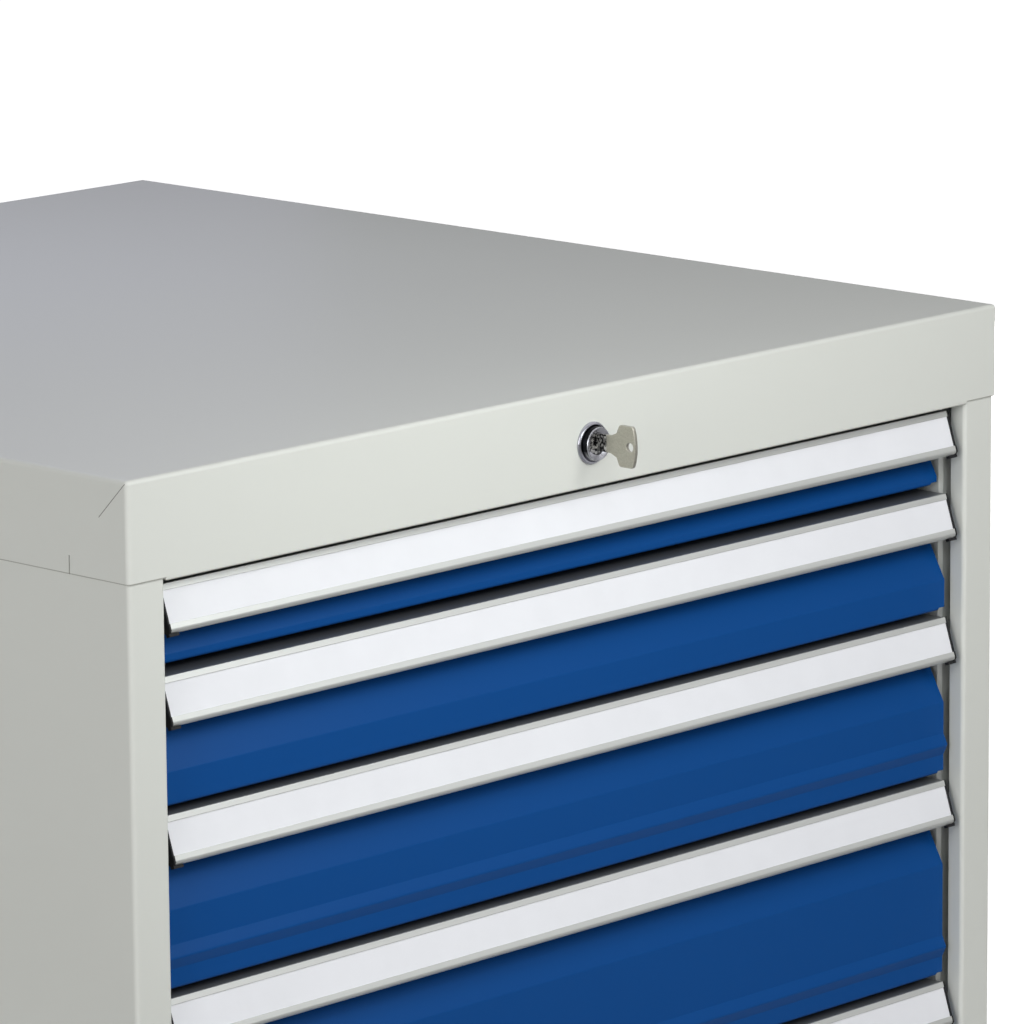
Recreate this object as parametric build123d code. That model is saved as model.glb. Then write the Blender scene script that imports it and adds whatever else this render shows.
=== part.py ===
from build123d import *
import math
import os

# Sheet-steel drawer cabinet with six full-width drawers and a central lock.
# Sizes are in millimetres. X runs to the right, Y to the back and Z up.
# The origin lies on the floor under the middle of the top cover.

# Drawer stack
drawer_pitches = (50.0, 75.0, 100.0, 125.0, 150.0, 200.0)
slot_pitch = 25.0
front_gap = 3.1
top_gap = 5.0
side_gap = 4.5

# Cover and body shell
cover_width = 705.0
cover_depth = 736.0
fascia_height = 55.0
cover_sheet = 1.0
cover_clearance = 0.2
cover_flange = 12.0
flange_drop = 1.4
flange_step = 0.3
bend_radius = 2.5
body_sheet = 1.5
stile_width = 26.0
stile_return = 10.6
rear_flange = 25.0
back_sheet = 1.2
corner_slit_length = 10.0
corner_slit_width = 0.8
corner_slit_setback = 44.8

# Base
plinth_height = 60.0
plinth_sheet = 2.0
plinth_front_recess = 25.0
plinth_side_recess = 12.0
plinth_bend = 4.0
sill_height = 30.0
sill_return = 14.0
base_rear_flange = 24.0

# Slotted uprights
post_sheet = 2.0
post_depth = 40.0
post_bend = 2.4
front_post_setback = 19.4
rear_post_setback = 28.0
slot_setback = 20.0
slot_width = 3.6
slot_height = 12.0

# Telescopic runners
runner_width = 12.7
runner_height = 35.0
runner_sheet = 1.2
runner_standoff = 5.4
runner_rise = 18.5
runner_end_gap = 1.5
middle_end_gap = 35.4
cabinet_channel_depth = 8.3
lip_length = 2.6
inner_lip_length = 2.0
slide_gap = 0.35
web_gap = 0.5
web_end_gap = 1.0
hook_sheet = 1.5
hook_height = 20.0
hook_foot = 9.0
hook_crown = 17.0
hook_tab = 2.6
hook_drop = 4.0
hook_reach = 2.5
hook_play = 0.2

# Drawer tray
tray_rear_room = 90.5
tray_sheet = 1.2
tray_bend = 2.0
tray_headroom = 14.0
tray_hem = 8.0

# Drawer front, measured back from the face of the fascia
front_sheet = 1.2
front_bend = 2.2
front_flange_start = 14.6
front_leg_depth = 26.0
front_face_depth = 12.6
front_leg_height = 27.7
front_slope = 28.5
front_min_face = 5.0
front_foot = 9.0
front_notch_width = 5.0
front_notch_height = 1.8
bead_projection = 3.1
bead_half_height = 6.4
bead_rise = 17.8
bead_bend = 2.0
bead_min_pitch = 100.0

# Handle rail, drawn square to its leaning face
rail_drop = 1.2
rail_lean = 18.0
rail_face_depth = 11.7
rail_wall = 1.8
rail_lip_height = 3.5
rail_lip_proud = 0.8
rail_nose_top = 21.3
rail_nose_bottom = 26.5
rail_nose_proud = 1.2
rail_nose_depth = 5.2
rail_nose_radius = 2.6
rail_nose_chamfer = 1.2
rail_end_corner = 1.8
rail_leg_sheet = 1.7
rail_leg_depth = 36.0
label_thickness = 0.8
label_cover = 0.8
cap_thickness = 1.2
cap_foot_drop = 1.6
cap_foot_length = 7.0

# Lock
lock_drop = 31.6
lock_ring_radius = 12.0
lock_ring_proud = 1.9
lock_boss_radius = 9.7
lock_boss_proud = 4.6
lock_ring_edge = 1.0
lock_barrel_radius = 9.5
lock_barrel_length = 22.0
lock_play = 0.1
plug_radius = 6.0
plug_play = 0.05
plug_recess = 1.0
plug_tail = 2.0
nut_size = 27.0
nut_thickness = 3.5
key_thickness = 2.2
key_rise = 1.2
key_blade_height = 8.0
key_blade_length = 18.0
key_neck_height = 9.8
key_stop_gap = 0.4
key_play = 0.1
key_shoulder = 15.0
key_shoulder_rise = 2.0
key_neck = 19.5
key_bow_start = 21.6
key_bow_end = 31.4
key_bow_nose = 33.6
key_bow_height = 23.6
key_bow_corner = 2.2
key_hole_radius = 2.6
key_hole_setback = 29.4

# Lock shaft, crank and bar
shaft_square = 8.0
shaft_play = 0.1
crank_radius = 10.0
crank_turn = 90.0
crank_thickness = 4.0
crank_boss_radius = 9.5
crank_eye_radius = 4.5
crank_pin_radius = 2.5
crank_pin_play = 0.5
crank_gap = 0.5
crank_pin_end = 1.5
bar_width = 30.0
bar_thickness = 3.0
bar_setback = 4.4
bar_end = 6.0
keeper_width = 24.0
keeper_reach = 14.0
keeper_rise = 32.0
keeper_lip = 16.0
finger_width = 16.0
finger_gap = 2.0
finger_inset = 7.5
guide_sheet = 2.0
guide_bend = 4.0
guide_height = 20.0
guide_play = 0.3
guide_lip = 5.0
guide_foot = 18.0
guide_half_width = 30.0
guide_places = (0.06, 0.42, 0.90)
bracket_half_width = 42.0
bracket_ahead = 5.5

# How far a cut runs past the surface that it opens
cut_past = 1.0

# Levels
sill_top = plinth_height + sill_height
stack_height = sum(drawer_pitches)
fascia_bottom = sill_top + stack_height + top_gap
cabinet_height = fascia_bottom + fascia_height
floor_top = plinth_height + body_sheet
body_top = cabinet_height - cover_sheet
panel_top = cabinet_height - bend_radius - cover_clearance

# Planes of the shell
cover_front = -cover_depth / 2
cover_back = cover_depth / 2
shell_inset = cover_sheet + cover_clearance
body_half = cover_width / 2 - shell_inset
skin_half = body_half - body_sheet
body_front = cover_front + shell_inset
body_back = cover_back - shell_inset
opening_half = body_half - stile_width
front_half = opening_half - side_gap
back_panel_front = body_back - body_sheet - back_sheet

# Planes of the trays and runners
tray_half = opening_half - runner_standoff - runner_width
tray_inner_half = tray_half - tray_sheet
tray_front = cover_front + front_leg_depth + front_sheet
tray_back = back_panel_front - tray_rear_room
tray_lift = front_gap + front_sheet
runner_start = tray_front + runner_end_gap
front_post_start = cover_front + front_post_setback
rear_post_end = back_panel_front - rear_post_setback
rear_post_start = rear_post_end - post_depth
front_slot_y = front_post_start + slot_setback
rear_slot_y = rear_post_start + slot_setback
first_slot_z = sill_top + tray_lift + runner_rise
slot_count = int(stack_height / slot_pitch)
middle_end = rear_post_end - middle_end_gap

# Planes of the lock
lock_z = cabinet_height - lock_drop
bar_front = tray_back + keeper_reach + bar_setback
bar_back = bar_front + bar_thickness
crank_back = bar_front - crank_gap
crank_front = crank_back - crank_thickness
plug_front = cover_front - lock_boss_proud + plug_recess
plug_back = cover_front + lock_barrel_length + plug_tail


def sheet_section(points, thickness, bend):
    """Section of a folded sheet whose middle line runs through the points."""
    middle = FilletPolyline(*points, radius=bend - thickness / 2)
    return trace(middle, line_width=thickness)


def faceted_section(points, thickness, bend):
    """The same for hidden folds, with one flat facet for each bend."""
    corners = [Vector(*point) for point in points]
    cut = bend - thickness / 2
    middle = [corners[0]]
    for before, corner, after in zip(corners, corners[1:], corners[2:]):
        middle.append(corner + (before - corner).normalized() * cut)
        middle.append(corner + (after - corner).normalized() * cut)
    middle.append(corners[-1])
    return trace(Polyline(*middle), line_width=thickness)


def block(x_range, y_range, z_range):
    """Rectangular block between the given limits."""
    size = [high - low for low, high in (x_range, y_range, z_range)]
    corner = Pos(x_range[0], y_range[0], z_range[0])
    return corner * Box(*size, align=(Align.MIN, Align.MIN, Align.MIN))


def along_x(section, half_length):
    """Extrudes a section drawn in Y and Z to both sides of the middle."""
    return extrude(Plane.YZ * section, amount=half_length, both=True)


def along_y(section, start, end):
    """Extrudes a section drawn in X and Z from one Y to another."""
    plane = Plane(origin=(0, end, 0), x_dir=(1, 0, 0), z_dir=(0, -1, 0))
    return extrude(plane * section, amount=end - start)


def both_sides(right):
    """The right-hand piece and its mirror image, as two solids."""
    return Compound(children=[right, mirror(right, about=Plane.YZ)])


def lock_axis_plane():
    """Plane whose X is the radius from the lock's axis and whose Y runs to the back."""
    return Plane(origin=(0, cover_front, lock_z), x_dir=(1, 0, 0), z_dir=(0, 0, 1))


def top_cover():
    """Folded cap with rounded edges, a lock hole and a dropped return over the drawers."""
    outer = block(
        (-cover_width / 2, cover_width / 2), (cover_front, cover_back), (fascia_bottom, cabinet_height)
    )
    upright = outer.edges().filter_by(Axis.Z)
    outer = fillet(upright + outer.faces().sort_by(Axis.Z)[-1].edges(), bend_radius)
    inner_half = cover_width / 2 - cover_sheet
    inner = block(
        (-inner_half, inner_half),
        (cover_front + cover_sheet, cover_back - cover_sheet),
        (fascia_bottom, body_top),
    )
    inner_facet = (bend_radius - cover_sheet) * (2 - math.sqrt(2))
    upright = inner.edges().filter_by(Axis.Z)
    inner = chamfer(upright + inner.faces().sort_by(Axis.Z)[-1].edges(), inner_facet)
    flange_front = cover_front + flange_step
    flange_bottom = fascia_bottom - flange_drop
    lip = block(
        (-opening_half, opening_half),
        (flange_front, flange_front + cover_sheet),
        (flange_bottom, fascia_bottom + cover_sheet),
    )
    flange = block(
        (-opening_half, opening_half),
        (flange_front, cover_front + cover_flange),
        (flange_bottom, flange_bottom + cover_sheet),
    )
    cover = outer - inner + lip + flange
    lock_hole = Plane(origin=(0, cover_front, lock_z), z_dir=(0, 1, 0)) * Cylinder(
        lock_barrel_radius + lock_play, 2 * (cover_sheet + cut_past)
    )
    cover -= lock_hole
    slit_y = cover_front + corner_slit_setback
    for side in (-1, 1):
        middle = side * (cover_width / 2 - cover_sheet / 2)
        cover -= block(
            (middle - cover_sheet, middle + cover_sheet),
            (slit_y - corner_slit_width / 2, slit_y + corner_slit_width / 2),
            (fascia_bottom - cut_past, fascia_bottom + corner_slit_length),
        )
    return cover


def right_side_panel():
    """Side sheet folded round the front into the stile and its return."""
    half = body_sheet / 2
    join_y = body_back - 2 * bend_radius
    front_points = (
        (body_half - half, join_y),
        (body_half - half, body_front + half),
        (opening_half + half, body_front + half),
        (opening_half + half, body_front + stile_return),
    )
    rear_points = (
        (body_half - rear_flange, body_back - half),
        (body_half - half, body_back - half),
        (body_half - half, join_y),
    )
    section = sheet_section(front_points, body_sheet, bend_radius)
    section += faceted_section(rear_points, body_sheet, bend_radius)
    return Pos(0, 0, plinth_height) * extrude(section, amount=panel_top - plinth_height)


def back_panel():
    """Flat back sheet, fixed to the inside of the rear flanges."""
    half = body_half - 2 * bend_radius
    return block((-half, half), (back_panel_front, body_back - body_sheet), (floor_top, panel_top))


def base_tray():
    """Bottom sheet with the front sill folded up from it."""
    half = body_sheet / 2
    rear = back_panel_front
    points = (
        (body_front + sill_return, sill_top - half),
        (body_front + half, sill_top - half),
        (body_front + half, plinth_height + half),
        (rear - half, plinth_height + half),
        (rear - half, plinth_height + base_rear_flange),
    )
    middle = along_x(faceted_section(points, body_sheet, bend_radius), opening_half)
    wing = block(
        (opening_half, skin_half),
        (body_front + stile_return + slide_gap, rear - bend_radius),
        (plinth_height, floor_top),
    )
    return middle + wing + mirror(wing, about=Plane.YZ)


def plinth():
    """Recessed pan that the cabinet stands on."""
    half = cover_width / 2 - plinth_side_recess
    start = cover_front + plinth_front_recess
    end = body_back - plinth_sheet
    outer = block((-half, half), (start, end), (0, plinth_height))
    outer = chamfer(outer.edges().filter_by(Axis.Z), plinth_bend * (2 - math.sqrt(2)))
    wall = plinth_sheet
    return outer - block((wall - half, half - wall), (start + wall, end - wall), (wall, plinth_height))


def right_post(start, slot_y):
    """Channel upright with a row of slots in its inner face."""
    half = post_sheet / 2
    end = start + post_depth
    points = (
        (skin_half, start + half),
        (opening_half + half, start + half),
        (opening_half + half, end - half),
        (skin_half, end - half),
    )
    section = faceted_section(points, post_sheet, post_bend)
    post = Pos(0, 0, floor_top) * extrude(section, amount=body_top - floor_top)
    slots = [
        block(
            (opening_half - cut_past, opening_half + post_sheet + cut_past),
            (slot_y - slot_width / 2, slot_y + slot_width / 2),
            (slot_z - slot_height / 2, slot_z + slot_height / 2),
        )
        for slot_z in [first_slot_z + slot_pitch * index for index in range(slot_count)]
    ]
    return post - slots


def runner_levels():
    """Half heights of the three members' flanges, from the outside in."""
    outer = runner_height / 2
    middle = outer - runner_sheet - lip_length - slide_gap
    inner = middle - runner_sheet - inner_lip_length - slide_gap
    return outer, middle, inner


def lipped_channel(web_x, lip_x, half_height, lip):
    """Channel with inturned lips; web_x and lip_x are the outer faces."""
    half = runner_sheet / 2
    inward = math.copysign(half, lip_x - web_x)
    tip = half_height - runner_sheet - lip
    edge = half_height - half
    points = (
        (lip_x - inward, tip),
        (lip_x - inward, edge),
        (web_x + inward, edge),
        (web_x + inward, -edge),
        (lip_x - inward, -edge),
        (lip_x - inward, -tip),
    )
    return trace(Polyline(*points), line_width=runner_sheet)


def cabinet_member(centre_z):
    """Fixed runner member with its two hooked brackets."""
    half_height = runner_levels()[0]
    web = tray_half + runner_width
    channel = lipped_channel(web, web - cabinet_channel_depth, half_height, lip_length)
    member = along_y(Pos(0, centre_z) * channel, runner_start, rear_post_end)
    for slot_y, direction in ((front_slot_y, 1), (rear_slot_y, -1)):
        member += runner_hook(slot_y, direction, centre_z)
    return member


def runner_hook(slot_y, direction, centre_z):
    """Stepped bracket on the member with a hook that drops into the slot of an upright."""
    half = hook_sheet / 2
    web = tray_half + runner_width
    step_y = slot_y + direction * hook_foot
    points = (
        (opening_half - half, slot_y - direction * hook_tab),
        (opening_half - half, step_y),
        (web + half, step_y),
        (web + half, step_y + direction * hook_crown),
    )
    line = Polyline(*points)
    plate = extrude(trace(line, line_width=hook_sheet), amount=hook_height / 2, both=True)
    tab_end = opening_half + post_sheet + hook_play + hook_reach
    bottom = hook_play - slot_height / 2
    tab = block(
        (opening_half - hook_sheet, tab_end),
        (-hook_tab / 2, hook_tab / 2),
        (bottom, slot_height / 2 - hook_play - hook_drop / 2),
    )
    tooth = block(
        (opening_half + post_sheet + hook_play, tab_end), (-hook_tab / 2, hook_tab / 2), (bottom - hook_drop, 0)
    )
    return Pos(0, 0, centre_z) * plate + Pos(0, slot_y, centre_z) * (tab + tooth)


def middle_member(centre_z):
    """Runner member between the cabinet and the drawer."""
    half_height = runner_levels()[1]
    web = tray_half + runner_width - runner_sheet - web_gap
    lip_x = tray_half + runner_sheet + web_end_gap
    section = Pos(0, centre_z) * lipped_channel(web, lip_x, half_height, inner_lip_length)
    return along_y(section, runner_start, middle_end)


def drawer_member(centre_z):
    """Runner member fixed to the side of the tray."""
    half_height = runner_levels()[2]
    half = runner_sheet / 2
    flange_end = tray_half + runner_width - 2 * runner_sheet - web_gap - web_end_gap
    points = (
        (flange_end, half_height - half),
        (tray_half + half, half_height - half),
        (tray_half + half, half - half_height),
        (flange_end, half - half_height),
    )
    section = Pos(0, centre_z) * trace(Polyline(*points), line_width=runner_sheet)
    return along_y(section, runner_start, tray_back)


def tray(bottom, pitch):
    """Drawer body with hemmed side walls and the lock keeper on its back."""
    wall_height = pitch - tray_headroom
    half = tray_sheet / 2
    top = bottom + wall_height
    side = tray_half - half
    points = ((-side, top), (-side, bottom + half), (side, bottom + half), (side, top))
    shell = along_y(faceted_section(points, tray_sheet, tray_bend), tray_front, tray_back)
    for start in (tray_front, tray_back - tray_sheet):
        shell += block((-tray_inner_half, tray_inner_half), (start, start + tray_sheet), (bottom, top))
    for low in (-tray_inner_half, tray_inner_half - tray_sheet):
        shell += block((low, low + tray_sheet), (tray_front, tray_back), (top - tray_hem, top))
    return shell + keeper(bottom + keeper_rise)


def keeper(level):
    """Strap on the tray's back wall with a lip turned down in front of the lock bar."""
    half = tray_sheet / 2
    lip_y = tray_back + keeper_reach - half
    points = ((tray_back - half, level), (lip_y, level), (lip_y, level - keeper_lip))
    return along_x(faceted_section(points, tray_sheet, tray_bend), keeper_width / 2)


def drawer_front(bottom, top, pitch):
    """Folded front: flange under the rail's leg, upright, slope, face with a bead, and foot."""
    half = front_sheet / 2
    slope_rate = math.tan(math.radians(front_slope))
    leg_y = cover_front + front_leg_depth + half
    leg_z = top - front_leg_height
    full_drop = (front_leg_depth - front_face_depth) / slope_rate
    drop = min(full_drop, leg_z - bottom - front_min_face)
    face_y = leg_y - drop * slope_rate
    flange_z = top - rail_leg_sheet - half
    join_z = flange_z - 2 * front_bend
    flange = ((cover_front + front_flange_start, flange_z), (leg_y, flange_z), (leg_y, join_z))
    points = [(leg_y, join_z), (leg_y, leg_z), (face_y, leg_z - drop)]
    bends = [front_bend] * 2
    if pitch >= bead_min_pitch:
        bead_z = bottom + bead_rise
        points.append((face_y, bead_z + bead_half_height))
        points.append((face_y - bead_projection, bead_z))
        points.append((face_y, bead_z - bead_half_height))
        bends += [bead_bend] * 3
    points.append((face_y, bottom + half))
    points.append((tray_front + front_foot, bottom + half))
    bends.append(front_bend)
    middle = FilletPolyline(*points, radius=[bend - half for bend in bends])
    section = trace(middle, line_width=front_sheet) + faceted_section(flange, front_sheet, front_bend)
    front = along_x(section, front_half)
    notch = block(
        (front_half - front_notch_width, front_half + cut_past),
        (cover_front, tray_back),
        (bottom - cut_past, bottom + front_notch_height),
    )
    return front - notch - mirror(notch, about=Plane.YZ)


def rail_plane(top):
    """Plane across the rail: X points out of the leaning face and Y up along it."""
    lean = math.radians(rail_lean)
    outward = (0, -math.cos(lean), math.sin(lean))
    return Plane(origin=(0, cover_front + rail_face_depth, top), x_dir=outward, z_dir=(-1, 0, 0))


def rail_section(channel):
    """Section of the rail with its channel open and nose round, or of a cap, filled and with a facet."""
    back = -label_thickness - rail_wall
    nose_back = rail_nose_proud - rail_nose_depth
    lip_edge = -rail_lip_height
    channel_top = lip_edge + label_cover
    channel_bottom = -rail_nose_top - label_cover
    front = [(rail_lip_proud, 0), (rail_lip_proud, lip_edge)]
    if channel:
        front += [
            (0, lip_edge),
            (0, channel_top),
            (-label_thickness, channel_top),
            (-label_thickness, channel_bottom),
            (0, channel_bottom),
            (0, -rail_nose_top),
        ]
    else:
        front.append((rail_lip_proud, -rail_nose_top))
    points = [(-label_thickness, 0)] + front + [
        (rail_nose_proud, -rail_nose_top),
        (rail_nose_proud, -rail_nose_bottom),
        (nose_back + rail_nose_chamfer, -rail_nose_bottom),
        (nose_back, rail_nose_chamfer - rail_nose_bottom),
        (nose_back, -rail_nose_top - rail_nose_radius),
        (back, -rail_nose_top),
        (back, -rail_leg_sheet / 2),
        (-label_thickness, -rail_leg_sheet / 2),
    ]
    section = make_face(Polyline(*points, close=True))
    nose = section.vertices().sort_by_distance(Vector(rail_nose_proud, -rail_nose_bottom))[0]
    if channel:
        return fillet(nose, rail_nose_radius)
    return chamfer(nose, rail_nose_radius * (2 - math.sqrt(2)))


def handle_rail(top):
    """Aluminium rail: lip, label channel, nose, and the leg that lies on the front's flange."""
    half_length = front_half - cap_thickness
    face = extrude(rail_plane(top) * rail_section(True), amount=half_length, both=True)
    lowest = face.bounding_box().min.Z
    corner = Polyline(
        (half_length, lowest),
        (half_length - rail_end_corner, lowest),
        (half_length, lowest + rail_end_corner),
        close=True,
    )
    corner_cut = along_y(make_face(corner), cover_front - cut_past, tray_front)
    leg = block(
        (-half_length, half_length),
        (cover_front + rail_face_depth, cover_front + rail_leg_depth),
        (top - rail_leg_sheet, top),
    )
    return face - corner_cut - mirror(corner_cut, about=Plane.YZ) + leg


def end_caps(top):
    """Two thin plastic caps on the ends of the rail, each with a foot under the nose."""
    section = rail_plane(top) * rail_section(False)
    plate = Pos(front_half, 0, 0) * extrude(section, amount=cap_thickness)
    nose_back = rail_nose_proud - rail_nose_depth
    foot_middle = Pos((nose_back + rail_nose_proud) / 2, -rail_nose_bottom - cap_foot_drop / 2)
    foot_profile = foot_middle * Rectangle(rail_nose_depth - rail_nose_radius, cap_foot_drop)
    foot = Pos(front_half, 0, 0) * extrude(rail_plane(top) * foot_profile, amount=cap_foot_length)
    return both_sides(plate + foot)


def label_strip(top):
    """White label strip, held in the rail's channel."""
    upper = -rail_lip_height + label_cover
    lower = -rail_nose_top - label_cover
    middle = Pos(-label_thickness / 2, (upper + lower) / 2)
    strip = middle * Rectangle(label_thickness, upper - lower)
    return extrude(rail_plane(top) * strip, amount=front_half - cap_thickness, both=True)


def lock_housing():
    """Turned housing: tapered ring on the fascia, raised boss, bore and barrel."""
    bore = plug_radius + plug_play
    outline = Polyline(
        (lock_ring_radius, 0),
        (lock_barrel_radius, 0),
        (lock_barrel_radius, lock_barrel_length),
        (bore, lock_barrel_length),
        (bore, plug_recess - lock_boss_proud),
        (lock_boss_radius, -lock_boss_proud),
        (lock_boss_radius, -lock_ring_proud),
        (lock_ring_radius, -lock_ring_edge),
        close=True,
    )
    section = lock_axis_plane() * make_face(outline)
    return revolve(section, axis=Axis((0, cover_front, lock_z), (0, 1, 0)))


def lock_nut():
    """Hexagon nut that clamps the housing behind the fascia."""
    plane = Plane(origin=(0, cover_front + cover_sheet, lock_z), x_dir=(1, 0, 0), z_dir=(0, 1, 0))
    section = RegularPolygon(nut_size / 2, 6, major_radius=False) - Circle(lock_barrel_radius + lock_play)
    return extrude(plane * section, amount=nut_thickness)


def lock_plug():
    """Turning plug with a key way in its face."""
    plane = Plane(origin=(0, plug_front, lock_z), x_dir=(1, 0, 0), z_dir=(0, 1, 0))
    plug = extrude(plane * Circle(plug_radius), amount=plug_back - plug_front)
    half_width = key_thickness / 2 + key_play
    low = lock_z + key_rise - key_blade_height / 2 - key_play
    high = lock_z + key_rise + key_blade_height / 2 + key_play
    way = block((-half_width, half_width), (plug_front - cut_past, plug_front + key_blade_length), (low, high))
    return plug - way


def key():
    """Flat key: blade in the plug, neck, and bow with a curved end and a ring hole."""
    half_blade = key_blade_height / 2
    half_neck = key_neck_height / 2
    half_bow = key_bow_height / 2
    tip = plug_front - cover_front + key_blade_length
    stop = lock_boss_proud + key_stop_gap
    shoulder = half_neck + key_shoulder_rise
    outline = Polyline(
        (-key_bow_end, half_bow),
        (-key_bow_start, half_bow),
        (-key_neck, shoulder),
        (-key_shoulder, half_neck),
        (-stop, half_neck),
        (-stop, half_blade),
        (tip, half_blade),
        (tip, -half_blade),
        (-stop, -half_blade),
        (-stop, -half_neck),
        (-key_shoulder, -half_neck),
        (-key_neck, -shoulder),
        (-key_bow_start, -half_bow),
        (-key_bow_end, -half_bow),
    )
    end = ThreePointArc((-key_bow_end, -half_bow), (-key_bow_nose, 0), (-key_bow_end, half_bow))
    blank = make_face(outline + end)
    rows = blank.vertices().group_by(Axis.Y)
    blank = fillet(rows[0] + rows[-1], key_bow_corner)
    blank -= Pos(-key_hole_setback, 0) * Circle(key_hole_radius)
    place = Plane(origin=(0, cover_front, lock_z + key_rise), x_dir=(0, 1, 0), z_dir=(1, 0, 0))
    return extrude(place * blank, amount=key_thickness / 2, both=True)


def lock_shaft():
    """Square shaft from the plug to the crank at the back."""
    half = shaft_square / 2
    return block((-half, half), (plug_back, crank_back), (lock_z - half, lock_z + half))


def crank_pin_place():
    """Place of the crank pin at rest, to the left of the shaft and below it."""
    turn = math.radians(crank_turn / 2)
    return -crank_radius * math.cos(turn), lock_z - crank_radius * math.sin(turn)


def lock_crank():
    """Crank plate on the shaft with a pin that reaches through the bar's slot."""
    pin_x, pin_z = crank_pin_place()
    front = Plane(origin=(0, crank_front, 0), x_dir=(1, 0, 0), z_dir=(0, 1, 0))
    boss = Pos(0, -lock_z) * RegularPolygon(crank_boss_radius, 8)
    eye = Pos(pin_x, -pin_z) * RegularPolygon(crank_eye_radius, 8)
    plate = make_hull(boss.edges() + eye.edges()) - Pos(0, -lock_z) * Rectangle(shaft_square, shaft_square)
    crank = extrude(front * plate, amount=crank_thickness)
    pin_length = bar_back + crank_pin_end - crank_front
    pin = extrude(front * (Pos(pin_x, -pin_z) * Circle(crank_pin_radius)), amount=pin_length)
    return crank + pin


def lock_bar(tray_bottoms):
    """Sliding bar with one finger for each drawer and a slot for the crank pin."""
    pin_x, pin_z = crank_pin_place()
    lowest = min(tray_bottoms)
    bar = block(
        (-bar_width / 2, bar_width / 2), (bar_front, bar_back), (lowest - bar_end, lock_z)
    )
    tip_y = tray_back + keeper_reach - finger_inset - bar_thickness / 2
    for bottom in tray_bottoms:
        tip_z = bottom + keeper_rise - keeper_lip - finger_gap
        base_z = tip_z - keeper_lip
        points = ((bar_front + bar_thickness / 2, base_z), (tip_y, base_z), (tip_y, tip_z))
        bar += along_x(faceted_section(points, bar_thickness, bar_thickness), finger_width / 2)
    slot_low = -crank_radius - crank_pin_radius - crank_pin_play
    slot_high = pin_x + crank_pin_radius + crank_pin_play
    slot_half = crank_pin_radius + crank_pin_play
    slot = block(
        (slot_low, slot_high), (bar_front - cut_past, bar_back + cut_past), (pin_z - slot_half, pin_z + slot_half)
    )
    return bar - slot


def bar_guide(level):
    """Bracket from the back panel with two lips that hold the bar."""
    half = guide_sheet / 2
    crown_y = bar_back + guide_play + half
    foot_y = back_panel_front - half
    hat = (
        (guide_half_width + guide_foot, foot_y),
        (guide_half_width, foot_y),
        (guide_half_width, crown_y),
        (-guide_half_width, crown_y),
        (-guide_half_width, foot_y),
        (-guide_half_width - guide_foot, foot_y),
    )
    section = faceted_section(hat, guide_sheet, guide_bend)
    cheek_x = bar_width / 2 + guide_play + half
    lip_y = bar_front - guide_play - half
    for side in (-1, 1):
        lip = ((side * cheek_x, crown_y), (side * cheek_x, lip_y), (side * (cheek_x - guide_lip), lip_y))
        section += trace(Polyline(*lip), line_width=guide_sheet)
    return Pos(0, 0, level) * extrude(section, amount=guide_height / 2, both=True)


def shaft_bracket():
    """Bracket from the back panel that carries the rear of the shaft."""
    half = guide_sheet / 2
    crown_y = crank_front - bracket_ahead
    foot_y = back_panel_front - half
    hat = (
        (bracket_half_width + guide_foot, foot_y),
        (bracket_half_width, foot_y),
        (bracket_half_width, crown_y),
        (-bracket_half_width, crown_y),
        (-bracket_half_width, foot_y),
        (-bracket_half_width - guide_foot, foot_y),
    )
    section = faceted_section(hat, guide_sheet, guide_bend)
    bracket = Pos(0, 0, lock_z) * extrude(section, amount=guide_height / 2, both=True)
    bore = shaft_square / math.sqrt(2) + shaft_play
    plane = Plane(origin=(0, crown_y, lock_z), z_dir=(0, 1, 0))
    return bracket - plane * Cylinder(bore, 2 * (guide_sheet + cut_past))


def save(name, shape):
    """Writes one node."""
    export_step(shape, f"parts/{name}.step")


def drawer_levels():
    """Lowest level and pitch of each drawer, from the top drawer down."""
    levels = []
    top = sill_top + stack_height
    for pitch in drawer_pitches:
        levels.append((top - pitch, pitch))
        top -= pitch
    return levels


def build_housing():
    save("top_cover", top_cover())
    panel = right_side_panel()
    save("right_side_panel", panel)
    save("left_side_panel", mirror(panel, about=Plane.YZ))
    save("back_panel", back_panel())
    save("base_tray", base_tray())
    save("plinth", plinth())
    posts = [
        right_post(front_post_start, front_slot_y),
        right_post(rear_post_start, rear_slot_y),
    ]
    save("right_posts", Compound(children=posts))
    save("left_posts", Compound(children=[mirror(post, about=Plane.YZ) for post in posts]))


def build_drawers():
    members = []
    for index, (level, pitch) in enumerate(drawer_levels(), start=1):
        bottom = level + tray_lift
        centre = bottom + runner_rise
        top = level + pitch - rail_drop
        name = f"drawer_{index}"
        save(f"{name}_tray", tray(bottom, pitch))
        save(f"{name}_front", drawer_front(level + front_gap, top, pitch))
        save(f"{name}_handle_rail", handle_rail(top))
        save(f"{name}_label_strip", label_strip(top))
        save(f"{name}_end_caps", end_caps(top))
        save(f"{name}_drawer_members", both_sides(drawer_member(centre)))
        save(f"{name}_middle_members", both_sides(middle_member(centre)))
        right = cabinet_member(centre)
        members += [right, mirror(right, about=Plane.YZ)]
    save("cabinet_members", Compound(children=members))


def build_lock():
    bottoms = [level + tray_lift for level, pitch in drawer_levels()]
    save("lock_housing", lock_housing())
    save("lock_nut", lock_nut())
    save("lock_plug", lock_plug())
    save("key", key())
    save("lock_shaft", lock_shaft())
    save("lock_crank", lock_crank())
    save("lock_bar", lock_bar(bottoms))
    span = lock_z - min(bottoms)
    guides = [bar_guide(min(bottoms) + share * span) for share in guide_places]
    save("lock_bar_guides", Compound(children=guides))
    save("shaft_bracket", shaft_bracket())


os.makedirs("parts", exist_ok=True)
build_housing()
build_drawers()
build_lock()
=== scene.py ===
import math

import bmesh
import bpy
import numpy as np
from mathutils import Matrix, Vector


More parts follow.
